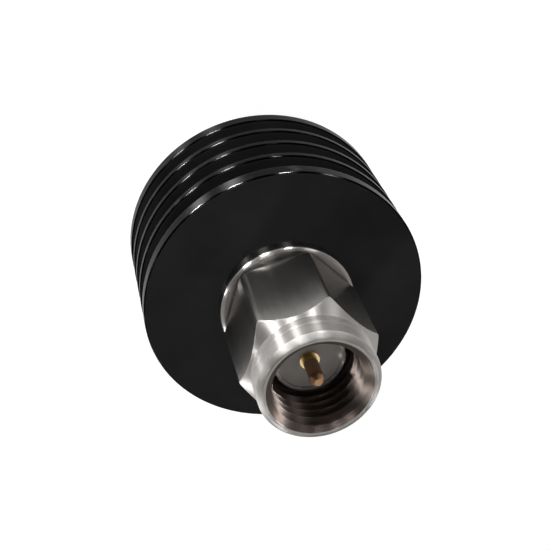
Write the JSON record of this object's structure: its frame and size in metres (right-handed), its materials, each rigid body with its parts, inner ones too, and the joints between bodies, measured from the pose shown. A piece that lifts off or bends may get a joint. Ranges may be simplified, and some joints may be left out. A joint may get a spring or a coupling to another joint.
{
  "type": "rf attenuator",
  "caption": "Finned coaxial attenuator with a screw-on plug whose hex nut turns freely, and a matching threaded jack at the other end.",
  "frame": {"origin": "centre of the jack's end face, on the axis", "axes": "+Z along the axis, from the jack towards the plug; a flat of the hex nut faces +X"},
  "size_m": [0.019, 0.019, 0.029],
  "materials": {
    "black_anodised": "satin black anodised",
    "polished_steel": "polished and passivated",
    "ptfe": "white, slightly waxy",
    "gold_plate": "gold plated",
    "clamp_brass": "turned",
    "ceramic": "ground ceramic"
  },
  "bodies": {
    "attenuator": {"heat_sink": "black_anodised", "jack_body": "polished_steel", "jack_bead": "ptfe", "jack_contact": "gold_plate", "clamp_front": "clamp_brass", "clamp_back": "clamp_brass", "attenuator_chip": "ceramic", "plug_body": "polished_steel", "plug_bead": "ptfe", "plug_pin": "gold_plate"},
    "ring": {"retaining_ring": "polished_steel"},
    "nut": {"coupling_nut": "polished_steel"}
  },
  "joints": [
    {"name": "nut_float", "type": "slide", "parent": "attenuator", "child": "ring", "axis": [0, 0, 1], "range_m": [0, 0.0003]},
    {"name": "nut_turn", "type": "hinge", "parent": "ring", "child": "nut", "pos_m": [0, 0, 0.0246], "axis": [0, 0, 1], "continuous": true}
  ]
}
